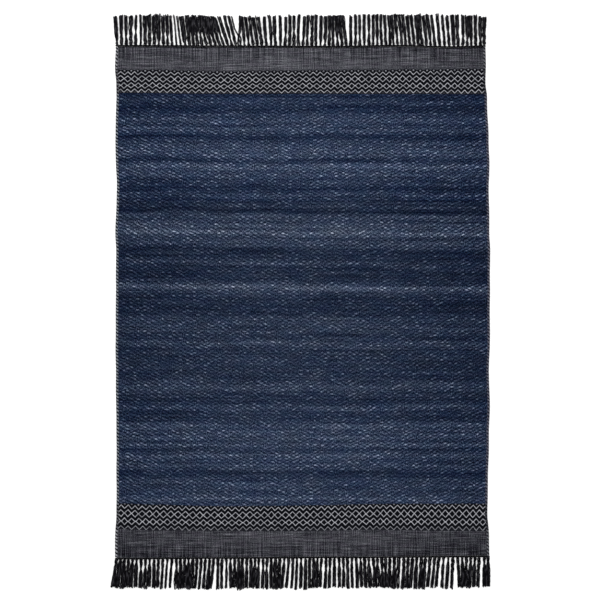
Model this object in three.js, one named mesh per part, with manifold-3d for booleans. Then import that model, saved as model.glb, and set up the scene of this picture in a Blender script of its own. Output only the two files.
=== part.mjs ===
// A flat-woven wool rug, 1.7 m wide, with knotted fringes at both ends.
// Millimetres, +Z up, +X across the weave, +Y along the warp towards the far end.
// The rug lies flat. The origin is on the floor under the middle of the whole rug.

import * as THREE from "three";
import { mergeVertices } from "three/addons/utils/BufferGeometryUtils.js";
import Module from "manifold-3d";

const wasm = await Module();
wasm.setup();

// The cloth
const CLOTH_THICKNESS = 7;
const EDGE_ROUND = 2.4;
const SIDE_STEPS = 48;
const END_STEPS = 24;

// The heading is the black line of knots that closes each end of the cloth
const HEADING_WIDTH = 8;
const HEADING_THICKNESS = 7;
const SEAM_GAP = 0.3;

// The fringe is the warp ends, gathered into bundles and trimmed level across the rug
const FAR_CUT = 1310;
const NEAR_CUT = -1305;
const ROOT_DEPTH = 5;
const RAGGED_CUT = 4;
const BUNDLE_GAP = 1.2;
const BUNDLE_STRAY = 2.6;
const BUNDLE_BOW = 2.0;
const LEAN_CURVE = 1.15;
const TOP_SHARE = 0.6;

// The sides of the cloth draw in and out along its length, measured from its middle
const CLOTH_SIDES = [
  { y: 1167, left: -853, right: 834 },
  { y: 1080, left: -856, right: 836 },
  { y: 1000, left: -850, right: 834 },
  { y: 935, left: -850, right: 841 },
  { y: 750, left: -854, right: 848 },
  { y: 640, left: -852, right: 852 },
  { y: 530, left: -847, right: 849 },
  { y: 315, left: -854, right: 852 },
  { y: 240, left: -851, right: 855 },
  { y: 0, left: -852, right: 854 },
  { y: -200, left: -853, right: 854 },
  { y: -310, left: -852, right: 849 },
  { y: -455, left: -851, right: 854 },
  { y: -600, left: -849, right: 850 },
  { y: -890, left: -849, right: 844 },
  { y: -965, left: -849, right: 843 },
  { y: -1075, left: -856, right: 850 },
  { y: -1167, left: -855, right: 852 },
];

// Where each end of the cloth stops, from the left side to the right side
const FAR_END = [
  { share: 0.0, y: 1170 },
  { share: 0.25, y: 1168 },
  { share: 0.6, y: 1166 },
  { share: 0.76, y: 1170 },
  { share: 0.91, y: 1164 },
  { share: 1.0, y: 1168 },
];
const NEAR_END = [
  { share: 0.0, y: -1167 },
  { share: 0.3, y: -1164 },
  { share: 0.6, y: -1161 },
  { share: 1.0, y: -1157 },
];

// How a bundle swells at its root, thins past the knot and frays towards its cut
const BUNDLE_FORM = [
  { share: 0.0, width: 17.5, height: 6.6 },
  { share: 0.07, width: 10.5, height: 7.0 },
  { share: 0.4, width: 12.5, height: 6.2 },
  { share: 0.75, width: 14.5, height: 5.2 },
  { share: 1.0, width: 16.0, height: 3.8 },
];

// How far the cut end of a bundle lies to the right of its root
const FAR_LEAN = [
  { x: -853, lean: -7 },
  { x: -760, lean: -1 },
  { x: -610, lean: -3 },
  { x: -550, lean: -16 },
  { x: -470, lean: -14 },
  { x: -370, lean: -40 },
  { x: -305, lean: -32 },
  { x: -280, lean: -8 },
  { x: -215, lean: -21 },
  { x: -100, lean: -6 },
  { x: 10, lean: 6 },
  { x: 140, lean: 0 },
  { x: 203, lean: -20 },
  { x: 222, lean: -5 },
  { x: 320, lean: 0 },
  { x: 480, lean: -16 },
  { x: 700, lean: -16 },
  { x: 755, lean: -1 },
  { x: 834, lean: 5 },
];
const NEAR_LEAN = [
  { x: -853, lean: -21 },
  { x: -800, lean: -9 },
  { x: -690, lean: -2 },
  { x: -545, lean: -6 },
  { x: -525, lean: 4 },
  { x: -440, lean: -2 },
  { x: -405, lean: -14 },
  { x: -345, lean: -14 },
  { x: -290, lean: -4 },
  { x: -230, lean: 3 },
  { x: -120, lean: -6 },
  { x: 0, lean: -8 },
  { x: 170, lean: -3 },
  { x: 250, lean: 5 },
  { x: 430, lean: -4 },
  { x: 490, lean: -13 },
  { x: 560, lean: -4 },
  { x: 620, lean: -15 },
  { x: 690, lean: -11 },
  { x: 712, lean: 8 },
  { x: 770, lean: -6 },
  { x: 815, lean: -4 },
  { x: 852, lean: 10 },
];

const ENDS = {
  fringe_far: {
    bundles: 84,
    outward: 1,
    end: FAR_END,
    cut: FAR_CUT,
    lean: FAR_LEAN,
    luck: 1,
  },
  fringe_near: {
    bundles: 88,
    outward: -1,
    end: NEAR_END,
    cut: NEAR_CUT,
    lean: NEAR_LEAN,
    luck: 2,
  },
};

const WOOL = new THREE.MeshStandardMaterial({ color: 0x2b3549, roughness: 0.95, metalness: 0 });
const WARP_YARN = new THREE.MeshStandardMaterial({ color: 0x111114, roughness: 0.92, metalness: 0 });

// Reads a table at a value between its rows, easing from row to row
function read(table, key, at, column) {
  const rising = table[0][key] < table.at(-1)[key];
  const rows = rising ? table : [...table].reverse();
  const last = rows.length - 2;
  const found = rows.findIndex((row, i) => i <= last && at <= rows[i + 1][key]);
  const low = rows[found < 0 ? last : found];
  const high = rows[(found < 0 ? last : found) + 1];
  const share = THREE.MathUtils.clamp((at - low[key]) / (high[key] - low[key]), 0, 1);
  return THREE.MathUtils.lerp(low[column], high[column], THREE.MathUtils.smoothstep(share, 0, 1));
}

// An unchanging scatter between -1 and 1
function scatter(index, luck) {
  const wave = Math.sin(index * 12.9898 + luck * 78.233) * 43758.5453;
  return 2 * (wave - Math.floor(wave)) - 1;
}

function endLine({ end, outward }) {
  const y = read(end, "share", 0.5, "y");
  const left = read(CLOTH_SIDES, "y", y, "left");
  const right = read(CLOTH_SIDES, "y", y, "right");
  return (share, outwards) => {
    const x = THREE.MathUtils.lerp(left, right, share);
    return new THREE.Vector2(x, read(end, "share", share, "y") + outward * outwards);
  };
}

function steps(count) {
  return Array.from({ length: count + 1 }, (_, i) => i / count);
}

// The outline runs along the near end, up the right side, back along the far end and down the left
function clothOutline() {
  const near = endLine(ENDS.fringe_near);
  const far = endLine(ENDS.fringe_far);
  const side = (column, from, to) =>
    steps(SIDE_STEPS).slice(1, -1).map((share) => {
      const y = THREE.MathUtils.lerp(from.y, to.y, share);
      return new THREE.Vector2(read(CLOTH_SIDES, "y", y, column), y);
    });
  return [
    ...steps(END_STEPS).map((share) => near(share, 0)),
    ...side("right", near(1, 0), far(1, 0)),
    ...steps(END_STEPS).reverse().map((share) => far(share, 0)),
    ...side("left", far(0, 0), near(0, 0)),
  ];
}

function clothGeometry() {
  const geometry = new THREE.ExtrudeGeometry(new THREE.Shape(clothOutline()), {
    depth: CLOTH_THICKNESS - 2 * EDGE_ROUND,
    bevelThickness: EDGE_ROUND,
    bevelSize: EDGE_ROUND,
    bevelOffset: -EDGE_ROUND,
    bevelSegments: 2,
  });
  return geometry.translate(0, 0, EDGE_ROUND);
}

function headingGeometry(line) {
  const inner = steps(END_STEPS).map((share) => line(share, SEAM_GAP));
  const outer = steps(END_STEPS).reverse().map((share) => line(share, SEAM_GAP + HEADING_WIDTH));
  const shape = new THREE.Shape([...inner, ...outer]);
  return new THREE.ExtrudeGeometry(shape, { depth: HEADING_THICKNESS, bevelEnabled: false });
}

// The middle of a bundle, as far along its length as the share says
function bundlePath(line, { bundles, cut, lean, luck }, index, share) {
  const root = line((index + 0.5) / bundles, SEAM_GAP + HEADING_WIDTH - ROOT_DEPTH);
  const tip = cut + RAGGED_CUT * scatter(index, luck + 20);
  const reach = read(lean, "x", root.x, "lean") + BUNDLE_STRAY * scatter(index, luck);
  const bow = BUNDLE_BOW * scatter(index, luck + 10) * Math.sin(Math.PI * share);
  const x = root.x + reach * share ** LEAN_CURVE + bow;
  return new THREE.Vector2(x, THREE.MathUtils.lerp(root.y, tip, share));
}

// A bundle is a four-sided strand that lies level on the floor, clear of its neighbours
function bundleGeometry(line, end, index) {
  const corners = [];
  for (const { share, width, height } of BUNDLE_FORM) {
    const middle = bundlePath(line, end, index, share);
    const spaces = [index - 1, index + 1]
      .filter((other) => other >= 0 && other < end.bundles)
      .map((other) => Math.abs(bundlePath(line, end, other, share).x - middle.x));
    const half = Math.min(width, Math.min(...spaces) - BUNDLE_GAP) / 2;
    const top = half * TOP_SHARE;
    corners.push([middle.x - half, middle.y, 0], [middle.x + half, middle.y, 0]);
    corners.push([middle.x + top, middle.y, height], [middle.x - top, middle.y, height]);
  }
  const faces = [0, 2, 1, 0, 3, 2];
  for (let ring = 0; ring < BUNDLE_FORM.length - 1; ring++) {
    for (let corner = 0; corner < 4; corner++) {
      const here = ring * 4 + corner;
      const next = ring * 4 + ((corner + 1) % 4);
      faces.push(here, next, next + 4, here, next + 4, here + 4);
    }
  }
  const cut = (BUNDLE_FORM.length - 1) * 4;
  faces.push(cut, cut + 1, cut + 2, cut, cut + 2, cut + 3);
  // The bundles of the far end run the other way, so their faces are turned
  if (end.outward > 0) faces.reverse();
  const geometry = new THREE.BufferGeometry();
  geometry.setAttribute("position", new THREE.Float32BufferAttribute(corners.flat(), 3));
  geometry.setIndex(faces);
  return geometry;
}

function toSolid(geometry) {
  const plain = geometry.clone();
  plain.deleteAttribute("normal");
  plain.deleteAttribute("uv");
  const merged = mergeVertices(plain, 1e-4);
  return new wasm.Manifold(
    new wasm.Mesh({
      numProp: 3,
      vertProperties: merged.attributes.position.array,
      triVerts: new Uint32Array(merged.index.array),
    }),
  );
}

function fromSolid(solid) {
  const mesh = solid.getMesh();
  const geometry = new THREE.BufferGeometry();
  geometry.setAttribute("position", new THREE.BufferAttribute(mesh.vertProperties, 3));
  geometry.setIndex(new THREE.BufferAttribute(mesh.triVerts, 1));
  geometry.computeVertexNormals();
  return geometry;
}

// The heading strip with every bundle fused to it at its root
function fringeGeometry(end) {
  const line = endLine(end);
  let fringe = toSolid(headingGeometry(line));
  for (let index = 0; index < end.bundles; index++) {
    fringe = fringe.add(toSolid(bundleGeometry(line, end, index)));
  }
  return fromSolid(fringe);
}

function piece(name, geometry, material) {
  const mesh = new THREE.Mesh(geometry, material);
  mesh.name = name;
  return mesh;
}

const rug = new THREE.Group();
rug.add(piece("cloth", clothGeometry(), WOOL));
for (const [name, end] of Object.entries(ENDS)) {
  rug.add(piece(name, fringeGeometry(end), WARP_YARN));
}

// The middle of the whole rug, fringes and all, is put over the origin
const box = new THREE.Box3().setFromObject(rug);
const middle = box.getCenter(new THREE.Vector3());
rug.position.set(-middle.x, -middle.y, -box.min.z);

export default rug;
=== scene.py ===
"""A flat-woven wool rug with knotted fringes, lying flat and seen from straight above."""

import math
import bpy
import numpy as np
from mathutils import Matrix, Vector


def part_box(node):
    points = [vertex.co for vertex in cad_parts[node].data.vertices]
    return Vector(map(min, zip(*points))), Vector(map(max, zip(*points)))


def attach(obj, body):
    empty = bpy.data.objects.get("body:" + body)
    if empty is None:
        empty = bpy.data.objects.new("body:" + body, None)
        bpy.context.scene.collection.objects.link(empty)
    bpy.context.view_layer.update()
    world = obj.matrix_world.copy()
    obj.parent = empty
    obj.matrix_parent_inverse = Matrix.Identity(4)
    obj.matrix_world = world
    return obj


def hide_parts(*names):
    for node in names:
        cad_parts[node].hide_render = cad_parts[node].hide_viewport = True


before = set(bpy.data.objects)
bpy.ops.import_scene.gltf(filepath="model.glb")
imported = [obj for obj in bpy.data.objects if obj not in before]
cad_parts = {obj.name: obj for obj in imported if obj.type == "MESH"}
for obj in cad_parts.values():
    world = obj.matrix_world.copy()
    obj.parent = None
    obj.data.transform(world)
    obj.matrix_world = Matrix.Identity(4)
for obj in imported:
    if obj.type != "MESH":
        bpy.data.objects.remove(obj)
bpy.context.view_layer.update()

MM = 0.001

# The part's own sizes, in millimetres from the middle of the cloth
CLOTH_THICKNESS = 7
HEADING_WIDTH = 8
SEAM_GAP = 0.3
ROOT_DEPTH = 5
RAGGED_CUT = 4
BUNDLE_STRAY = 1.2
BUNDLE_BOW = 1.8

# How the sides of the cloth draw in and out: place along the rug, left edge, right edge
CLOTH_SIDES = (
    (1167, -853, 838),
    (1080, -856, 840),
    (1000, -850, 838),
    (935, -850, 845),
    (750, -854, 852),
    (640, -852, 856),
    (530, -847, 853),
    (315, -854, 856),
    (240, -851, 859),
    (0, -852, 858),
    (-200, -853, 858),
    (-310, -852, 853),
    (-455, -851, 858),
    (-600, -849, 854),
    (-890, -849, 848),
    (-965, -849, 847),
    (-1075, -856, 854),
    (-1167, -855, 856),
)
LEFT, RIGHT = 1, 2

# Where each end of the cloth stops: share of the width from the left, place along the rug
FAR_END = ((0.0, 1170), (0.25, 1168), (0.6, 1166), (0.76, 1170), (0.91, 1164), (1.0, 1168))
NEAR_END = ((0.0, -1167), (0.3, -1164), (0.6, -1161), (1.0, -1157))

# How the fringe lies, read off the picture: place of a bundle's root across the rug, how far the root
# has moved sideways, how far its cut end lies to the right of it, how wide it is near the root and
# at the cut end, and where it is cut
FAR_FRINGE = (
    (-853, -3, -12, 16.5, 18, 1309),
    (-832, -3, -4, 16.5, 19, 1309),
    (-790, -1, 0, 16.5, 18, 1309),
    (-770, 0, 2, 16.5, 13, 1310),
    (-738, 4, -2, 16.5, 13, 1314),
    (-716, 5, -3, 16.5, 19.5, 1315),
    (-640, 7, -3, 16.5, 19.5, 1314),
    (-602, 7, -5, 16.5, 17, 1311),
    (-584, 7, -12, 10, 9, 1310),
    (-556, 7, -18, 10, 9, 1310),
    (-535, 7, -18, 16, 21, 1310),
    (-505, 5, -12, 16, 21, 1309),
    (-467, 3, -22, 16, 21, 1310),
    (-430, 4, -32, 16, 21, 1309),
    (-400, 5, -42, 16, 20.5, 1308),
    (-345, 3, -46, 13, 18, 1308),
    (-328, 2, -44, 16, 14, 1308),
    (-308, -1, -34, 16, 15, 1309),
    (-296, -4, -36, 16, 14, 1309),
    (-284, -5, -4, 16.5, 17, 1308),
    (-250, -5, -16, 16.5, 17.5, 1308),
    (-190, -5, -22, 16.5, 17.5, 1307),
    (-165, -4, -11, 16.5, 18, 1309),
    (-110, -3, -5, 16.5, 16.5, 1309),
    (-85, -1, 5, 16.5, 15.5, 1310),
    (-30, 0, 0, 16.5, 14.5, 1310),
    (8, 0, 8, 16, 15.5, 1310),
    (45, 0, 1, 16, 16, 1311),
    (75, 0, 3, 16, 15.5, 1312),
    (100, 0, 5, 16, 16, 1310),
    (125, 0, 4, 16, 17.5, 1310),
    (150, -1, -4, 16, 16.5, 1311),
    (172, -1, -13, 16, 16.5, 1312),
    (206, -1, -21, 16, 16.5, 1312),
    (218, -1, 0, 16, 14.5, 1313),
    (310, 0, 0, 15, 15.5, 1314),
    (345, -1, -3, 15, 15, 1314),
    (400, -3, -8, 15, 15.5, 1315),
    (440, -8, -13, 15, 16, 1315),
    (480, -11, -16, 15, 16, 1315),
    (540, -14, -16, 16, 16, 1315),
    (600, -18, -17, 16, 16, 1315),
    (635, -20, -13, 16, 15, 1315),
    (662, -15, -13, 16, 15, 1315),
    (680, -14, -12, 16, 18, 1313),
    (715, -13, -6, 16, 19, 1312),
    (735, -13, -1, 16, 17, 1312),
    (765, -13, -5, 16, 19, 1312),
    (808, -14, -2, 16, 18, 1310),
    (828, -12, 1, 16, 19, 1307),
    (834, -2, 2, 16, 19, 1306),
)
NEAR_FRINGE = (
    (-855, -1, -20, 15, 21, -1305),
    (-835, -4, -16, 15, 20.5, -1306),
    (-815, -5, -13, 15, 20, -1306),
    (-765, -7, -10, 15, 20, -1304),
    (-746, -8, -4, 15, 19.5, -1304),
    (-700, -8, -3, 15, 18, -1304),
    (-668, -7, -2, 15, 19, -1305),
    (-645, -6, -8, 15, 15, -1306),
    (-604, -3, -10, 15, 13, -1305),
    (-592, -2, -10, 15, 14, -1305),
    (-582, -2, 3, 15, 19.5, -1306),
    (-531, -4, 0, 15, 20.5, -1306),
    (-500, -5, -7, 15, 20, -1307),
    (-472, -5, -11, 15, 13, -1308),
    (-450, -5, -11, 15, 14, -1308),
    (-430, -5, -10, 15, 19, -1308),
    (-400, -6, -17, 15, 18, -1308),
    (-388, -6, -2, 15, 14, -1309),
    (-357, -7, -4, 15, 13, -1309),
    (-337, -7, 3, 15, 15, -1309),
    (-318, -8, 1, 15, 21, -1308),
    (-243, -11, -2, 15, 18, -1307),
    (-206, -12, -4, 15, 18, -1307),
    (-180, -13, -6, 15, 17, -1307),
    (-150, -14, -1, 15, 18, -1306),
    (-112, -16, -6, 15, 19, -1306),
    (-71, -14, -14, 15, 16, -1306),
    (-50, -13, -8, 15, 15, -1306),
    (-13, -14, -5, 15, 14, -1307),
    (8, -15, -1, 15, 19, -1307),
    (28, -15, 2, 15, 17, -1306),
    (42, -15, -5, 15, 17, -1304),
    (100, -18, -6, 15, 17, -1303),
    (141, -18, -4, 15, 17.5, -1302),
    (159, -18, 3, 15, 17.5, -1302),
    (197, -17, 0, 15, 17, -1303),
    (218, -17, 4, 15, 16, -1303),
    (276, -16, 5, 16, 18, -1303),
    (314, -17, 10, 16, 20, -1302),
    (374, -17, 3, 16, 20.3, -1303),
    (410, -18, -3, 16, 20.3, -1306),
    (440, -16, -8, 16, 20, -1308),
    (478, -12, -7, 16, 19, -1307),
    (495, -11, -11, 16, 17, -1307),
    (534, -10, -9, 17, 20, -1305),
    (573, -10, -13, 17, 19, -1304),
    (620, -7, -14, 17, 15.5, -1304),
    (657, -4, -8, 17, 17, -1306),
    (694, -1, -9, 17, 14.5, -1305),
    (706, 0, 7, 17, 15, -1303),
    (730, 1, 2, 17, 18.5, -1303),
    (762, 3, -7, 17, 18.5, -1303),
    (806, 2, -7, 17, 17, -1301),
    (826, 6, 1, 16, 19, -1299),
    (845, 3, 0, 16, 19.5, -1297),
)
SHIFT, REACH, GIRTH, SPREAD, CUT = 1, 2, 3, 4, 5

# How frayed the bundles are: place across the rug, share
FAR_WEAR = (
    (-853, 0.15),
    (-730, 0.15),
    (-712, 1.0),
    (-620, 1.0),
    (-600, 0.2),
    (-545, 0.3),
    (-300, 0.45),
    (-284, 0.6),
    (0, 0.75),
    (205, 0.6),
    (220, 0.3),
    (300, 0.4),
    (320, 0.8),
    (500, 0.7),
    (790, 0.7),
    (815, 0.1),
    (853, 0.0),
)
NEAR_WEAR = (
    (-855, 0.0),
    (-600, 0.1),
    (-580, 0.3),
    (-300, 0.4),
    (0, 0.8),
    (250, 0.8),
    (300, 0.6),
    (550, 0.5),
    (800, 0.4),
    (815, 0.1),
    (856, 0.0),
)
# Each end: its fringe and wear, a bundle with one ply blown aside, and a bundle squeezed in
FAR = {
    "bundles": 84,
    "extra": (83.3,),
    "apart": {28: -30},
    "outward": 1,
    "end": FAR_END,
    "fringe": FAR_FRINGE,
    "wear": FAR_WEAR,
    "luck": 1,
}
NEAR = {
    "bundles": 88,
    "extra": (),
    "apart": {},
    "outward": -1,
    "end": NEAR_END,
    "fringe": NEAR_FRINGE,
    "wear": NEAR_WEAR,
    "luck": 2,
}

HALF_WIDTH = 853

# The weave: one repeat is 8 warps wide, and the same threading runs the length of the rug
REPEAT = 32.26
REPEAT_START = -829.9
WARP_PITCH = REPEAT / 8

# The diamond bands bow a little: place across the rug, where row 0 lies, height of a row, and
# how far the repeat has slipped, in repeats
FAR_BOW = (
    (-860, 1054, 15.3, 0.0),
    (-700, 1053, 15.3, 0.0),
    (-560, 1050.5, 15.3, 0.12),
    (-340, 1047, 14.9, 0.17),
    (-120, 1049, 15.1, 0.25),
    (0, 1050.5, 15.3, 0.29),
    (310, 1052.5, 15.8, 0.2),
    (530, 1055, 16.2, -0.08),
    (740, 1057, 16.7, -0.25),
    (860, 1057, 16.6, -0.38),
)
NEAR_BOW = (
    (-860, -926, 18.0, 0.05),
    (-680, -931.3, 17.9, 0.08),
    (-460, -936.8, 17.4, 0.26),
    (-340, -938.3, 17.1, 0.27),
    (-130, -936.8, 17.4, 0.34),
    (90, -934, 17.8, 0.37),
    (310, -928.6, 18.0, 0.3),
    (530, -927.6, 18.6, 0.1),
    (750, -927.6, 18.9, -0.05),
    (860, -927.6, 19.1, -0.17),
)
ROW_ZERO, ROW_HEIGHT, SLIP = 1, 2, 3
# Each band: how it bows, the rows where it starts and ends, how much shows of the dots at its foot,
# how much its last rows dim, and how pale the panel is that dips into it
FAR_BAND = {"bow": FAR_BOW, "starts": -1.0, "ends": 6.32, "feet": 0.2, "dims": 0.0, "panel": 70}
NEAR_BAND = {"bow": NEAR_BOW, "starts": -0.44, "ends": 6.15, "feet": 0.0, "dims": 0.22, "panel": 0}
PALE_LEVEL = 192
# The grey zigzags: those that rise towards the peak of the repeat, and those that fall to it
RISING_ROWS = (0.8, 2.0, 4.8, 6.0)
FALLING_ROWS = (2.0, 3.2)
SLOPE = 0.87
TIPS_ROW = -0.4
FEET_ROW = 6
LINE_WIDTH = 0.26

# Where the blue weave changes its pick
FIRST_CHANGE = 464
SECOND_CHANGE = -450

# How pale each lot of blue weft looks, from 0 to 255
LOTS = {"ink": 34, "night": 43, "deep": 49, "denim": 56, "soft": 62, "pale": 70, "frost": 82}
FAR_STRIPES = (
    (953, "night"),
    (916, "denim"),
    (884, "night"),
    (848, "soft"),
    (829, "pale"),
    (811, "denim"),
    (788, "pale"),
    (756, "night"),
    (733, "soft"),
    (701, "pale"),
    (674, "pale"),
    (647, "deep"),
    (624, "frost"),
    (601, "soft"),
    (587, "pale"),
    (564, "denim"),
    (542, "denim"),
    (519, "night"),
    (491, "soft"),
    (464, "night"),
)
MIDDLE_STRIPES = (
    (464, "night"),
    (441, "deep"),
    (418, "ink"),
    (395, "soft"),
    (372, "denim"),
    (350, "pale"),
    (336, "soft"),
    (318, "frost"),
    (295, "denim"),
    (267, "soft"),
    (240, "night"),
    (203, "night"),
    (181, "denim"),
    (158, "night"),
    (103, "night"),
    (85, "denim"),
    (66, "frost"),
    (48, "denim"),
    (11, "night"),
    (-53, "night"),
    (-75, "denim"),
    (-117, "denim"),
    (-162, "deep"),
    (-190, "soft"),
    (-217, "deep"),
    (-336, "deep"),
    (-391, "soft"),
    (-418, "deep"),
    (-450, "night"),
)
NEAR_STRIPES = (
    (-450, "night"),
    (-478, "soft"),
    (-505, "deep"),
    (-537, "deep"),
    (-564, "pale"),
    (-583, "soft"),
    (-601, "soft"),
    (-619, "pale"),
    (-633, "denim"),
    (-651, "pale"),
    (-670, "deep"),
    (-701, "pale"),
    (-724, "denim"),
    (-743, "soft"),
    (-784, "night"),
    (-811, "denim"),
    (-834, "soft"),
    (-871, "denim"),
    (-898, "pale"),
    (-921, "denim"),
)

# How each dye shifts red, green and blue from the grey level
BLUE_DYE = (-16.3, -2.8, 19.1)
INDIGO_DYE = (-14.3, -4.6, 18.9)
GREY_DYE = (-2.6, -1.6, 4.8)
YARN_DYE = (-0.6, -1.4, 3.4)
DUSKY_DYE = (-2.0, -3.2, 5.2)
LEFT_DYE = (-6.0, 0.6, 11.0)
RIGHT_DYE = (-3.0, -3.0, 11.0)
BLACK_LEVEL = 11
# How pale the yarns round the sides are on the whole, and where the middle of the blue lies
SIDE_LEVEL = 78
FIELD_MIDDLE = 16
# The lamps brighten every colour, so each is mixed this much darker
LIGHT_GAIN = 0.8
WOOL_ROUGHNESS = 0.95
YARN_ROUGHNESS = 0.9
SHEEN_LEVEL = 0.06

# The blue weave, in grey levels: a float against its ground (partly the weft's own two tones, partly
# painted shade in the troughs between floats), one float against another, the palest floats and the
# flecks in the wool, all for a lot of this level
FLOAT_TONE_AND_TROUGH_SHADE = 27
FLOAT_CHANCE = 24
PALEST_FLOATS = 40
WOOL_FLECKS = 29
USUAL_LOT = 56

# The grey panels, in grey levels: single warps, the broader warp stripes, long picks, short picks,
# the pick stripes, the crossings and the flecks in the wool
WARP_TONE = 24
WARP_STRIPES = 8
LONG_PICKS = 18
SHORT_PICKS = 14
PICK_STRIPES = 7
CROSSING_TONE = 7
PANEL_FLECKS = 20
CHECK_PICK = 5.4


def ease(share):
    share = min(max(share, 0.0), 1.0)
    return share * share * (3 - 2 * share)


def read(table, at, column=1):
    """Reads a table's column between its rows, easing from row to row."""
    rows = table if table[0][0] < table[-1][0] else table[::-1]
    for low, high in zip(rows, rows[1:]):
        if at <= high[0]:
            break
    share = ease((at - low[0]) / (high[0] - low[0]))
    return low[column] + (high[column] - low[column]) * share


def scatter(index, luck):
    """An unchanging scatter between -1 and 1."""
    wave = math.sin(index * 12.9898 + luck * 78.233) * 43758.5453
    return 2 * (wave - math.floor(wave)) - 1


def end_place(end, share, outwards):
    """A place near an end of the cloth: share of the width from the left, millimetres outwards."""
    middle_y = read(end["end"], 0.5)
    left = read(CLOTH_SIDES, middle_y, LEFT)
    right = read(CLOTH_SIDES, middle_y, RIGHT)
    return left + (right - left) * share, read(end["end"], share) + end["outward"] * outwards


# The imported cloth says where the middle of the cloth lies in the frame
cloth_low, cloth_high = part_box("cloth")
ORIGIN_X = cloth_low.x - MM * min(side[LEFT] for side in CLOTH_SIDES)
ORIGIN_Y = cloth_high.y - MM * max(place[1] for place in FAR_END)


def place(x, y, z):
    """Millimetres from the middle of the cloth, as metres in the frame."""
    return ORIGIN_X + x * MM, ORIGIN_Y + y * MM, z * MM


class Tint:
    """A value in a material's nodes. Sums on it add Math nodes."""

    def __init__(self, tree, socket=None):
        self.tree = tree
        self.socket = socket

    def node(self, kind, settings=None, sockets=None, output=0):
        """Adds a node, sets its settings, then gives its sockets values or links."""
        made = self.tree.nodes.new("ShaderNode" + kind)
        for name, setting in (settings or {}).items():
            if name == "stops":
                self.set_stops(made.color_ramp, setting)
            elif name == "easing":
                made.color_ramp.interpolation = setting
            else:
                setattr(made, name, setting)
        for key, value in (sockets or {}).items():
            if isinstance(value, Tint):
                self.tree.links.new(value.socket, made.inputs[key])
            else:
                made.inputs[key].default_value = value
        return Tint(self.tree, made.outputs[output])

    @staticmethod
    def set_stops(ramp, stops):
        while len(ramp.elements) < len(stops):
            ramp.elements.new(1.0)
        for element, (position, grey) in zip(ramp.elements, stops):
            element.position = position
            element.color = (grey, grey, grey, 1.0)

    def follow(self, table, column=1):
        """Reads a table's column between its rows, as the shapes do."""
        rows = table if table[0][0] < table[-1][0] else table[::-1]
        first, last = rows[0][0], rows[-1][0]
        least = min(row[column] for row in rows)
        span = max(row[column] for row in rows) - least
        stops = [((row[0] - first) / (last - first), (row[column] - least) / span) for row in rows]
        share = (self - first) / (last - first)
        return self.node("ValToRGB", {"stops": stops, "easing": "EASE"}, {"Fac": share}) * span + least

    def sum(self, operation, *values):
        return self.node("Math", {"operation": operation}, dict(enumerate(values)))

    def __add__(self, other):
        return self.sum("ADD", self, other)

    __radd__ = __add__

    def __sub__(self, other):
        return self.sum("SUBTRACT", self, other)

    def __rsub__(self, other):
        return self.sum("SUBTRACT", other, self)

    def __mul__(self, other):
        return self.sum("MULTIPLY", self, other)

    __rmul__ = __mul__

    def __truediv__(self, other):
        return self.sum("DIVIDE", self, other)

    def __pow__(self, other):
        return self.sum("POWER", self, other)

    def __abs__(self):
        return self.sum("ABSOLUTE", self)

    def larger(self, other):
        return self.sum("MAXIMUM", self, other)

    def floor(self):
        return self.sum("FLOOR", self)

    def part(self):
        return self.sum("FRACT", self)

    def wave(self):
        """A cosine that repeats each time the value grows by one."""
        return self.sum("COSINE", self * math.tau)

    def rise(self, low, high):
        """Eases from 0 to 1 as the value goes from low to high."""
        sockets = {"Value": self, "From Min": low, "From Max": high}
        return self.node("MapRange", {"interpolation_type": "SMOOTHSTEP"}, sockets)

    def joined(self, other):
        """Two values as the X and Y of a vector."""
        return self.node("CombineXYZ", {}, {"X": self, "Y": other})

    def cloudy(self, other):
        """Soft noise over two values, from about -1 to 1."""
        sockets = {"Vector": self.joined(other), "Scale": 1.0, "Detail": 0.0}
        return self.node("TexNoise", {"noise_dimensions": "2D"}, sockets) * 4 - 2

    def speckled(self, other):
        """A new chance value from 0 to 1 at each pair of values."""
        return self.node("TexWhiteNoise", {"noise_dimensions": "2D"}, {"Vector": self.joined(other)})

    def mixed(self, low, high):
        """A mix of two values, low where this is 0 and high where it is 1."""
        return low + (high - low) * self


def new_material(name, roughness):
    """A matt yarn material, and its Principled shader and first value."""
    material = bpy.data.materials.new(name)
    material.use_nodes = True
    shader = material.node_tree.nodes["Principled BSDF"]
    shader.inputs["Roughness"].default_value = roughness
    shader.inputs["Specular IOR Level"].default_value = SHEEN_LEVEL
    return material, shader, Tint(material.node_tree)


def finish_material(shader, colour, height, bump_depth):
    """Gives the shader its colour, and a bump in millimetres."""
    colour.tree.links.new(colour.socket, shader.inputs["Base Color"])
    sockets = {"Height": height, "Distance": bump_depth * MM, "Strength": 1.0}
    normal = colour.node("Bump", {}, sockets)
    colour.tree.links.new(normal.socket, shader.inputs["Normal"])


def millimetres(value):
    """The place on the rug, in millimetres from the middle of the cloth."""
    spot = value.node("TexCoord", output="Object")
    axes = [value.node("SeparateXYZ", {}, {"Vector": spot}, output=axis) for axis in "XYZ"]
    return (axes[0] - ORIGIN_X) / MM, (axes[1] - ORIGIN_Y) / MM, axes[2] / MM


def dyed(level, dye):
    """The colour that shows as a grey level from 0 to 255, with each channel shifted by the dye."""
    shown = [(level + shift).larger(0.0) / 255 for shift in dye]
    red, green, blue = [((one + 0.055) / 1.055) ** 2.4 * LIGHT_GAIN for one in shown]
    return level.node("CombineColor", {}, {"Red": red, "Green": green, "Blue": blue})


def tinged(share, low, high):
    """A dye that lies between two others."""
    return [share.mixed(one, other) for one, other in zip(low, high)]


def middle_tone(x):
    """The middle of the rug is a little paler than its sides, the right side most of all."""
    off = (x + 40) / 850
    return 4 - 14 * off * off


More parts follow.
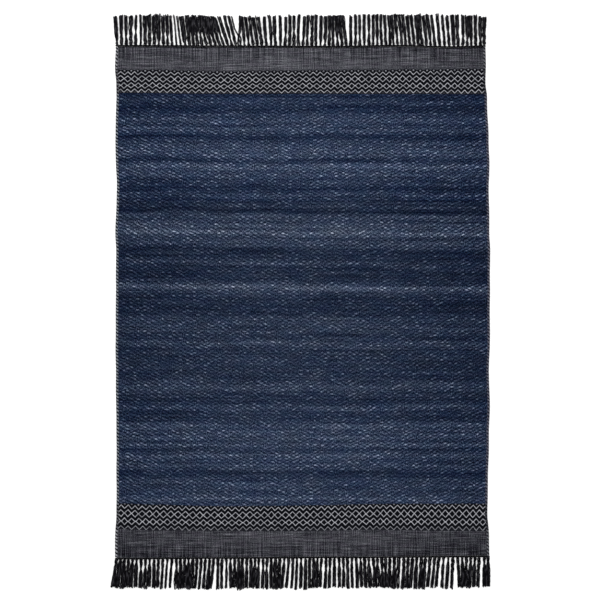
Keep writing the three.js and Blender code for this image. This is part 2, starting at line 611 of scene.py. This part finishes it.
def field_wool(name, stripes, pick, origin, tilt, paler, richness):
    """Blue wool in a small brick-laid weave, in stripes of paler and darker lots of weft."""
    material, shader, first = new_material(name, WOOL_ROUGHNESS)
    x, y, _ = millimetres(first)
    lots = tuple((at, LOTS[lot]) for at, lot in stripes)
    drift = x * tilt + (x / 260).cloudy(y / 900) * 4
    lot = (y + drift).follow(lots)
    streak = (x / 420).cloudy(y / 9) * 8 + (x / 90).cloudy(y / 4.5) * 7
    u = (x - REPEAT_START + (x / 50).cloudy(y / 20) * 3.4) / REPEAT
    v = (y - origin + (x / 40).cloudy(y / 40) * 1.8) / pick
    down, up = u + v, u - v
    slope = (x / 500 + (x / 50).cloudy(y / 24) * 1.5).rise(-2.2, 2.2) * 0.4 + 0.3
    brick = slope.mixed(down.wave(), up.wave())
    lobe = brick.larger(0.0)
    chance = (down + 0.5).floor().speckled((up + 0.5).floor())
    float_tone = (chance * 2 - 1) * FLOAT_CHANCE + chance.rise(0.7, 1.0) * PALEST_FLOATS
    heather = (x / 5).cloudy(y / 4)
    lively = lot / USUAL_LOT
    # The brick wave makes each float paler and the troughs between floats darker: partly the weft's own
    # two tones, partly painted shade where the relief dips.
    weave = brick * FLOAT_TONE_AND_TROUGH_SHADE + float_tone * lobe + heather * WOOL_FLECKS
    level = lot + paler - 1.5 + streak + middle_tone(x) + lively * weave
    twist = ((x + y * 0.6) / 2.4).wave()
    height = brick * 0.5 + heather * 0.3 + twist * 0.12
    strength = richness + (x / 100).cloudy(y / 50) * 0.08
    dye = tinged((x / 60).cloudy(y / 20).rise(-1.0, 1.0), INDIGO_DYE, BLUE_DYE)
    finish_material(shader, dyed(level, [shift * strength for shift in dye]), height, 0.9)
    return material


def panel_wool(name, level_shown, end, black_picks):
    """Black and grey yarn crossed in a fine, uneven check, darker towards its black picks at the end."""
    material, shader, first = new_material(name, WOOL_ROUGHNESS)
    x, y, _ = millimetres(first)
    stripes = ((x + 3 * (x / 40).cloudy(y / 90)) / 10.5).wave() * WARP_STRIPES
    posts = (x / 3.2).cloudy(y / 180) * WARP_TONE + stripes
    picks = (x / 200).cloudy(y / 3.2) * LONG_PICKS + (x / 45).cloudy(y / 3.2) * SHORT_PICKS
    picks = picks + (y / 9.3 + (x / 400).cloudy(y / 40)).wave() * PICK_STRIPES
    crossing = (x / WARP_PITCH / 2).wave() * (y / CHECK_PICK).wave()
    heather = (x / 3.8).cloudy(y / 3.6)
    cloud = (x / 60).cloudy(y / 30) * 5
    inside = abs((x / (2 * HALF_WIDTH) + 0.5).follow(end) - y)
    tone = level_shown + cloud + middle_tone(x) * 0.9 + inside.rise(25, 75) * 10 - 5
    level = tone + posts + picks + crossing * CROSSING_TONE + heather * PANEL_FLECKS
    level = inside.rise(black_picks - 1.5, black_picks + 1.5).mixed(BLACK_LEVEL + heather * 4, level)
    height = crossing * 0.5 + posts * 0.03 + heather * 0.3
    dye = tinged((x / 50).cloudy(y / 18).rise(-0.6, 1.2), GREY_DYE, DUSKY_DYE)
    finish_material(shader, dyed(level, dye), height, 0.8)
    return material


def diamond_wool(name, band):
    """Pale grey zigzags and diamonds on black: lines follow a triangle wave, one step per row."""
    material, shader, first = new_material(name, WOOL_ROUGHNESS)
    x, y, _ = millimetres(first)
    bow = band["bow"]
    u = (x - REPEAT_START + (x / 60).cloudy(y / 50) * 1.4) / REPEAT - x.follow(bow, SLIP)
    side = abs(u.part() * 2 - 1)
    peak = (side * 0.8 + u.wave() * 0.1 + 0.1) * SLOPE
    row = (x.follow(bow, ROW_ZERO) - y + (x / 55).cloudy(y / 40) * 1.2) / x.follow(bow, ROW_HEIGHT)
    lines = 0.0
    for sloped, rows in ((row + peak, RISING_ROWS), (row - peak, FALLING_ROWS)):
        for level in rows:
            lines = (1 - abs(sloped - level).rise(0.0, LINE_WIDTH)).larger(lines)
    tips = 1 - ((row - TIPS_ROW) ** 2 + side * side).rise(0.01, 0.12)
    feet = 1 - ((row - FEET_ROW) ** 2 + (1 - side) ** 2).rise(0.01, 0.08)
    lines = lines.larger(tips * 0.7).larger(feet * band["feet"])
    heather = (x / 4.5).cloudy(y / 3.5)
    dim = 1 - row.rise(4.6, 5.4) * band["dims"]
    pale = (PALE_LEVEL + (x / 40).cloudy(y / 30) * 16 + heather * 20) * dim
    black = BLACK_LEVEL + heather * 5 + row.rise(5.3, 5.9) * 18
    level = lines.mixed(black, pale)
    if band["panel"]:
        level = (row - side * 0.45).rise(-0.98, -0.8).mixed(band["panel"] + heather * 14, level)
    height = lines * 0.7 + (y / 2.7).wave() * 0.2 + heather * 0.15
    finish_material(shader, dyed(level, GREY_DYE), height, 0.8)
    return material


def new_yarn(name):
    """A twisted yarn's material and shader, its place on the rug, its flecks and its height."""
    material, shader, first = new_material(name, YARN_ROUGHNESS)
    x, y, z = millimetres(first)
    heather = (x / 2.2).cloudy(y / 9)
    twist = ((x + y * 0.7 + z) / 1.7).wave()
    return material, shader, x, y, heather, twist * 0.5 + heather * 0.3


def plain_yarn(name, level_shown, spread, dusty=0):
    """Twisted black yarn for the fringe and the headings, dusty in streaks."""
    material, shader, x, y, heather, height = new_yarn(name)
    level = level_shown + heather * spread + (x / 6).cloudy(y / 30).rise(-0.4, 1.2) * dusty
    finish_material(shader, dyed(level, YARN_DYE), height, 0.5)
    return material


def side_yarn(name, level_shown, spread, dye):
    """Yarn round a side of the rug: bluish beside the blue, grey and livelier beside the panels."""
    material, shader, x, y, heather, height = new_yarn(name)
    off = abs(y - FIELD_MIDDLE)
    grey = off.rise(925, 950)
    beside_band = grey * (1 - off.rise(1040, 1065))
    level = SIDE_LEVEL + (level_shown - SIDE_LEVEL + heather * spread) * (1 + grey * 0.3)
    level = level * (1 - beside_band * 0.35)
    finish_material(shader, dyed(level, tinged(grey, dye, GREY_DYE)), height, 0.5)
    return material


def only(piece):
    """Selects one piece and nothing else."""
    bpy.ops.object.select_all(action="DESELECT")
    piece.select_set(True)
    bpy.context.view_layer.objects.active = piece


EDGE_INSET = 8
EDGE_DROP = 2.6
FACE_LEVEL = CLOTH_THICKNESS - 0.6


def straight(at):
    return lambda share: at


def along_band(band, row):
    """The line across the rug where a row of a diamond band lies."""

    def line(share):
        x = (share * 2 - 1) * HALF_WIDTH
        return read(band["bow"], x, ROW_ZERO) - row * read(band["bow"], x, ROW_HEIGHT)

    return line


def along_end(end):
    return lambda share: read(end, share)


def woven_section(name, far_line, near_line, columns, rows, relief):
    """A closed sheet between two lines across the rug, its face raised by the relief."""
    bpy.ops.object.select_all(action="DESELECT")
    bpy.ops.mesh.primitive_grid_add(x_subdivisions=columns, y_subdivisions=rows, size=1)
    section = bpy.context.active_object
    section.name = name
    points = np.empty(len(section.data.vertices) * 3)
    section.data.vertices.foreach_get("co", points)
    points = points.reshape(-1, 3)
    across = points[:, 0] + 0.5
    along = points[:, 1] + 0.5
    far_y = np.vectorize(far_line)(across)
    near_y = np.vectorize(near_line)(across)
    y = near_y + (far_y - near_y) * along
    heights = np.linspace(y.min(), y.max(), 60)
    lefts = np.interp(y, heights, [read(CLOTH_SIDES, at, LEFT) + EDGE_INSET for at in heights])
    rights = np.interp(y, heights, [read(CLOTH_SIDES, at, RIGHT) - EDGE_INSET for at in heights])
    x = lefts + (rights - lefts) * across
    border = np.minimum(along, 1 - along) * np.abs(far_y - near_y)
    side = np.minimum(across, 1 - across) * (rights - lefts)
    z = FACE_LEVEL + relief(x, y) * np.clip(border / 4, 0, 1) * np.clip(side / 6, 0, 1)
    z = z - EDGE_DROP * np.clip(1 - side / 6, 0, 1) ** 2
    section.data.vertices.foreach_set("co", np.stack(place(x, y, z), 1).ravel())
    bpy.ops.object.mode_set(mode="EDIT")
    bpy.ops.mesh.select_all(action="SELECT")
    bpy.ops.mesh.region_to_loop()
    bpy.ops.mesh.extrude_region_move()
    bpy.ops.transform.resize(value=(1, 1, 0), center_override=(0, 0, 0))
    bpy.ops.mesh.edge_face_add()
    bpy.ops.mesh.select_all(action="SELECT")
    bpy.ops.mesh.normals_make_consistent(inside=False)
    bpy.ops.object.mode_set(mode="OBJECT")
    bpy.ops.object.shade_smooth_by_angle(angle=math.radians(40))
    return section


def brick_relief(pick, origin):
    """Each float of the blue weave stands up a little, laid like bricks."""

    def relief(x, y):
        u = (x - REPEAT_START) / REPEAT
        v = (y - origin) / pick
        return 0.6 * np.cos(math.tau * u) * np.cos(math.tau * v)

    return relief


def check_relief(x, y):
    """The crossings of the grey panels stand up a little."""
    return 0.3 * np.cos(math.tau * x / (2 * WARP_PITCH)) * np.cos(math.tau * y / CHECK_PICK)


def diamond_relief(band):
    """The pale lines stand above the black ground."""

    def relief(x, y):
        places = np.linspace(-HALF_WIDTH, HALF_WIDTH, 120)
        zero, height, slip = [
            np.interp(x, places, [read(band["bow"], at, column) for at in places])
            for column in (ROW_ZERO, ROW_HEIGHT, SLIP)
        ]
        u = (x - REPEAT_START) / REPEAT - slip
        peak = np.abs((u % 1) * 2 - 1) * SLOPE
        row = (zero - y) / height
        nearest = np.full_like(x, 9.0)
        for sloped, rows in ((row + peak, RISING_ROWS), (row - peak, FALLING_ROWS)):
            for level in rows:
                nearest = np.minimum(nearest, np.abs(sloped - level))
        return 0.6 * np.clip(1 - nearest / 0.35, 0, 1) - 0.1

    return relief


def spun(name, paths, radius, *yarns):
    """One mesh of many yarns, each a round tube along its own path in millimetres."""
    curve = bpy.data.curves.new(name, "CURVE")
    curve.dimensions = "3D"
    curve.bevel_depth = radius * MM
    curve.bevel_resolution = 1
    curve.use_fill_caps = True
    for yarn in yarns:
        curve.materials.append(yarn)
    for lot, path in paths:
        spline = curve.splines.new("POLY")
        spline.material_index = lot
        spline.points.add(len(path) - 1)
        for point, (x, y, z, thickness) in zip(spline.points, path):
            point.co = (*place(x, y, z), 1)
            point.radius = thickness
    piece = bpy.data.objects.new(name, curve)
    bpy.context.collection.objects.link(piece)
    only(piece)
    bpy.ops.object.convert(target="MESH")
    piece = bpy.context.active_object
    bpy.ops.object.shade_smooth_by_angle(angle=math.radians(60))
    return piece


PLIES = 3
PLY_YARNS = 3
YARN_RADIUS = 2.15
YARN_STEPS = 15
PLY_WIDTH = 7.4
BUNDLE_TURNS = 1.6
PLY_TURNS = 1.8
TWIST_RADIUS = 2.0
ROOT_SPACING = 1.9
GATHERED = 0.07
STRAY_YARNS = 0.06
STRAY_REACH = 8


def lay_bundle(end, index):
    """What one bundle is like: where it starts and is cut, how wide it lies and where it opens."""
    luck = end["luck"] + 30
    across = (index + 0.5) / end["bundles"]
    root_x, root_y = end_place(end, across, SEAM_GAP + HEADING_WIDTH - ROOT_DEPTH)
    root_x += read(end["fringe"], root_x, SHIFT)
    girth, spread = [read(end["fringe"], root_x, column) for column in (GIRTH, SPREAD)]
    frayed = read(end["wear"], root_x) * ease((scatter(index, luck + 6) + 0.5) / 1.2)
    return {
        "root": (root_x, root_y),
        "cut": read(end["fringe"], root_x, CUT) + RAGGED_CUT * scatter(index, luck),
        "reach": read(end["fringe"], root_x, REACH) + BUNDLE_STRAY * scatter(index, luck + 1),
        "bow": BUNDLE_BOW * scatter(index, luck + 2),
        "girth": girth + 0.8 * scatter(index, luck + 3),
        "spread": spread + 1.5 * scatter(index, luck + 4),
        "opens": 0.3 + 0.22 * scatter(index, luck + 5),
        "frayed": frayed,
        "dense": 0.28 * ease((spread - 17) / 4) * (1 - frayed),
        "start": math.pi * scatter(index, luck + 7),
    }


def yarn_path(end, index, bundle, ply, rank, yarn):
    """One yarn: out of the heading, twisted into its ply, wound into the bundle, then loose."""
    luck = end["luck"] + 50
    strand = index * PLIES + ply
    number = strand * PLY_YARNS + yarn
    root_x, root_y = bundle["root"]
    frayed = bundle["frayed"]
    fan = rank * (bundle["spread"] - PLY_WIDTH) / 2
    apart = end["apart"].get(index, 0) if rank < 0 else 0
    stray = scatter(number, luck) > 1 - 2 * STRAY_YARNS
    away = STRAY_REACH * scatter(number, luck + 1) if stray else 0.0
    ply_sway = (0.5 + 0.9 * frayed) * scatter(strand, luck + 2)
    ply_bends = 10 + 4 * scatter(strand, luck + 3)
    yarn_sway = (0.3 + 1.3 * frayed) * scatter(number, luck + 4)
    yarn_bends = 13 + 5 * scatter(number, luck + 5)
    layer = 1.2 * (1 + scatter(strand, luck + 6))
    length = 1 + 0.025 * scatter(strand, luck + 7) + 0.02 * scatter(number, luck + 8)
    path = []
    for step in range(YARN_STEPS):
        share = (step / (YARN_STEPS - 1)) ** 1.3
        gather = ease(share / GATHERED)
        loose = ease((share - bundle["opens"] + 0.25) / 0.5)
        winding = bundle["start"] + math.tau * (ply / PLIES + BUNDLE_TURNS * share)
        wound = (bundle["girth"] - PLY_WIDTH) / 1.6 * math.cos(winding)
        fanned = fan + ply_sway * math.sin(share * ply_bends + strand)
        middle = wound + (fanned - wound) * loose
        twist = math.tau * (yarn / PLY_YARNS + PLY_TURNS * share) + strand
        twisted = middle + TWIST_RADIUS * math.cos(twist)
        twisted += loose * (yarn_sway * math.sin(share * yarn_bends + number) + away * share)
        row = (ply * PLY_YARNS + yarn - 4) * ROOT_SPACING
        sideways = row + (twisted - row) * gather
        lean = (bundle["reach"] + apart) * share + bundle["bow"] * math.sin(math.pi * share)
        stacked = 1.1 * (1 + math.sin(winding)) * (1 - loose) + layer * loose
        lift = (stacked + 0.7 * (1 + math.sin(twist))) * gather + 1.6 * (1 - gather)
        y = root_y + (bundle["cut"] - root_y) * share * length
        thickness = 1 + (bundle["dense"] - 0.1) * loose
        path.append((root_x + lean + sideways, y, YARN_RADIUS * thickness + lift + 0.02, thickness))
    return path


def fringe_paths(end):
    """The yarns of every bundle, its plies in an order of their own once they come loose."""
    paths = []
    for index in (*range(end["bundles"]), *end["extra"]):
        bundle = lay_bundle(end, index)
        order = sorted(range(PLIES), key=lambda ply: scatter(index * PLIES + ply, end["luck"] + 70))
        for ply in range(PLIES):
            for yarn in range(PLY_YARNS):
                paths.append((0, yarn_path(end, index, bundle, ply, order[ply] - 1, yarn)))
    return paths


TWINE_TURNS = 74
TWINE_STEPS = 8
TWINE_YARNS = 3
TWINE_WIDTH = 2.0
TWINE_HEIGHT = 1.8
TWINE_LEVEL = 3.9
EDGE_YARN_RADIUS = 2.1


def heading_paths(end):
    """Three black yarns twined into a cord along the end of the cloth."""
    steps = TWINE_TURNS * TWINE_STEPS
    paths = []
    for yarn in range(TWINE_YARNS):
        path = []
        for step in range(steps + 1):
            share = 0.001 + 0.998 * step / steps
            angle = math.tau * (step / TWINE_STEPS + yarn / TWINE_YARNS)
            outwards = SEAM_GAP + HEADING_WIDTH / 2 + TWINE_WIDTH * math.cos(angle)
            x, y = end_place(end, share, outwards)
            path.append((x, y, TWINE_LEVEL + TWINE_HEIGHT * math.sin(angle), 1))
        paths.append((0, path))
    return paths


WRAP_PITCH = 15.7
WRAP_STEPS = 8
WRAP_WIDTH = 4.6
WRAP_HEIGHT = 1.35
WRAP_INSET = 6.1
WRAP_LEVEL = 3.55
WRAP_YARNS = 4


def selvage_paths(column):
    """Four yarns, two dark and two pale, wound round the outer warps of one side."""
    near_y, far_y = -1164, 1167
    turns = (far_y - near_y) / WRAP_PITCH
    steps = round(turns * WRAP_STEPS)
    inward = 1 if column == LEFT else -1
    paths = []
    for yarn in range(WRAP_YARNS):
        path = []
        for step in range(steps + 1):
            share = step / steps
            y = near_y + (far_y - near_y) * share
            uneven = 0.12 * math.sin(y / 53) + 0.08 * math.sin(y / 17 + 1)
            angle = math.tau * (share * turns + uneven + yarn / WRAP_YARNS)
            middle = read(CLOTH_SIDES, y, column) + inward * WRAP_INSET + 0.5 * math.sin(y / 29)
            x = middle + WRAP_WIDTH * math.cos(angle)
            path.append((x, y, WRAP_LEVEL + WRAP_HEIGHT * math.sin(angle), 1))
        paths.append((0 if yarn < WRAP_YARNS / 2 else 1, path))
    return paths


def finish_piece(piece, node):
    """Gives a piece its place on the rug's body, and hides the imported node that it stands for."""
    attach(piece, "root")
    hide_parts(node)


def cell_count(length, cell):
    return max(2, round(abs(length) / cell))


SECTIONS = (
    {
        "name": "panel_far",
        "lines": (along_end(FAR_END), along_band(FAR_BAND, FAR_BAND["starts"])),
        "cells": (4.0, 2.7),
        "relief": check_relief,
        "wool": panel_wool("wool_grey_far", 72.5, FAR_END, 4),
    },
    {
        "name": "diamonds_far",
        "lines": (along_band(FAR_BAND, FAR_BAND["starts"]), along_band(FAR_BAND, FAR_BAND["ends"])),
        "cells": (2.7, 2.7),
        "relief": diamond_relief(FAR_BAND),
        "wool": diamond_wool("wool_diamonds_far", FAR_BAND),
    },
    {
        "name": "field_far",
        "lines": (along_band(FAR_BAND, FAR_BAND["ends"]), straight(FIRST_CHANGE)),
        "cells": (REPEAT / 6, 3.76),
        "relief": brick_relief(15.04, FIRST_CHANGE),
        "wool": field_wool("wool_blue_far", FAR_STRIPES, 15.04, FIRST_CHANGE, 0.005, -4, 1.1),
    },
    {
        "name": "field_middle",
        "lines": (straight(FIRST_CHANGE), straight(SECOND_CHANGE)),
        "cells": (REPEAT / 6, 4.08),
        "relief": brick_relief(16.32, FIRST_CHANGE),
        "wool": field_wool("wool_blue_middle", MIDDLE_STRIPES, 16.32, FIRST_CHANGE, 0.01, 0, 0.98),
    },
    {
        "name": "field_near",
        "lines": (straight(SECOND_CHANGE), along_band(NEAR_BAND, NEAR_BAND["starts"])),
        "cells": (REPEAT / 6, 4.0),
        "relief": brick_relief(16.0, SECOND_CHANGE),
        "wool": field_wool("wool_blue_near", NEAR_STRIPES, 16.0, SECOND_CHANGE, 0.003, 0, 1.05),
    },
    {
        "name": "diamonds_near",
        "lines": (along_band(NEAR_BAND, NEAR_BAND["starts"]), along_band(NEAR_BAND, NEAR_BAND["ends"])),
        "cells": (2.7, 2.7),
        "relief": diamond_relief(NEAR_BAND),
        "wool": diamond_wool("wool_diamonds_near", NEAR_BAND),
    },
    {
        "name": "panel_near",
        "lines": (along_band(NEAR_BAND, NEAR_BAND["ends"]), along_end(NEAR_END)),
        "cells": (4.0, 2.7),
        "relief": check_relief,
        "wool": panel_wool("wool_grey_near", 62, NEAR_END, 0.5),
    },
)
WIDTH = 1708


def build_cloth():
    for section in SECTIONS:
        far_line, near_line = section["lines"]
        length = far_line(0.5) - near_line(0.5)
        columns = cell_count(WIDTH, section["cells"][0])
        rows = cell_count(length, section["cells"][1])
        piece = woven_section(section["name"], far_line, near_line, columns, rows, section["relief"])
        piece.data.materials.append(section["wool"])
        finish_piece(piece, "cloth")
        length * MM


# The black yarns of each end: how pale the fringe is and how pale its heading
END_YARNS = (("far", FAR, 15, 15), ("near", NEAR, 7, 11))
FRINGE_DUST = 52
# The yarns round each side: their dye, how pale the dark ones are and how pale the others
EDGE_YARNS = (("left", LEFT, LEFT_DYE, 22, 155), ("right", RIGHT, RIGHT_DYE, 44, 112))


def build_edges():
    for name, end, fringe_level, heading_level in END_YARNS:
        black = plain_yarn("yarn_black_" + name, fringe_level, 10, FRINGE_DUST)
        twined = plain_yarn("yarn_heading_" + name, heading_level, 7)
        fringe = spun("fringe_yarns_" + name, fringe_paths(end), YARN_RADIUS, black)
        finish_piece(fringe, "fringe_" + name)
        heading = spun("heading_" + name, heading_paths(end), EDGE_YARN_RADIUS, twined)
        finish_piece(heading, "fringe_" + name)
    for name, column, dye, dark_level, pale_level in EDGE_YARNS:
        dark = side_yarn("yarn_dark_" + name, dark_level, 9, dye)
        pale = side_yarn("yarn_pale_" + name, pale_level, 20, dye)
        selvage = spun("selvage_" + name, selvage_paths(column), EDGE_YARN_RADIUS, dark, pale)
        finish_piece(selvage, "cloth")


FLOOR_SIZE = 14
FLOOR_LEVEL = -0.0004
LAMP_HEIGHT = 3.6
LAMP_SIZE = 2.6
# Each lamp: its place over the floor and its power
LAMPS = ((-2.6, 2.8, 108), (2.8, 2.2, 70), (0.0, -3.2, 52))


def build_floor():
    bpy.ops.object.select_all(action="DESELECT")
    bpy.ops.mesh.primitive_plane_add(size=FLOOR_SIZE, location=(0, 0, FLOOR_LEVEL))
    floor = bpy.context.active_object
    floor.name = "floor"
    material = bpy.data.materials.new("pale_floor")
    material.use_nodes = True
    shader = material.node_tree.nodes["Principled BSDF"]
    shader.inputs["Base Color"].default_value = (0.93, 0.93, 0.93, 1)
    shader.inputs["Emission Color"].default_value = (1, 1, 1, 1)
    shader.inputs["Emission Strength"].default_value = 0.25
    shader.inputs["Roughness"].default_value = 0.9
    shader.inputs["Specular IOR Level"].default_value = 0.1
    floor.data.materials.append(material)


def build_light():
    world = bpy.data.worlds.new("studio")
    world.use_nodes = True
    background = world.node_tree.nodes["Background"]
    background.inputs["Color"].default_value = (1, 1, 1, 1)
    background.inputs["Strength"].default_value = 0.55
    scene = bpy.context.scene
    scene.world = world
    scene.view_settings.view_transform = "Standard"
    for x, y, power in LAMPS:
        bpy.ops.object.light_add(type="AREA", location=(x, y, LAMP_HEIGHT))
        lamp = bpy.context.active_object
        lamp.data.energy = power
        lamp.data.size = LAMP_SIZE
        lamp.rotation_euler = (Vector((0, 0, 0)) - lamp.location).to_track_quat("-Z", "Y").to_euler()


PICTURE_WIDTH = 605
SHOWN_MM = 4.57
PICTURE_MIDDLE_X = 1.4
CAMERA_HEIGHT = 9.0
SENSOR = 36.0


def build_camera():
    """Straight above, from so far that nothing looks nearer than it is."""
    seen = PICTURE_WIDTH * SHOWN_MM * MM
    camera = bpy.data.cameras.new("camera")
    camera.sensor_width = SENSOR
    camera.lens = SENSOR * (CAMERA_HEIGHT - CLOTH_THICKNESS * MM) / seen
    camera.clip_end = 50
    holder = bpy.data.objects.new("camera", camera)
    holder.location = (ORIGIN_X + PICTURE_MIDDLE_X * MM, ORIGIN_Y, CAMERA_HEIGHT)
    bpy.context.collection.objects.link(holder)
    bpy.context.scene.camera = holder


build_camera()
build_cloth()
build_edges()
build_floor()
build_light()
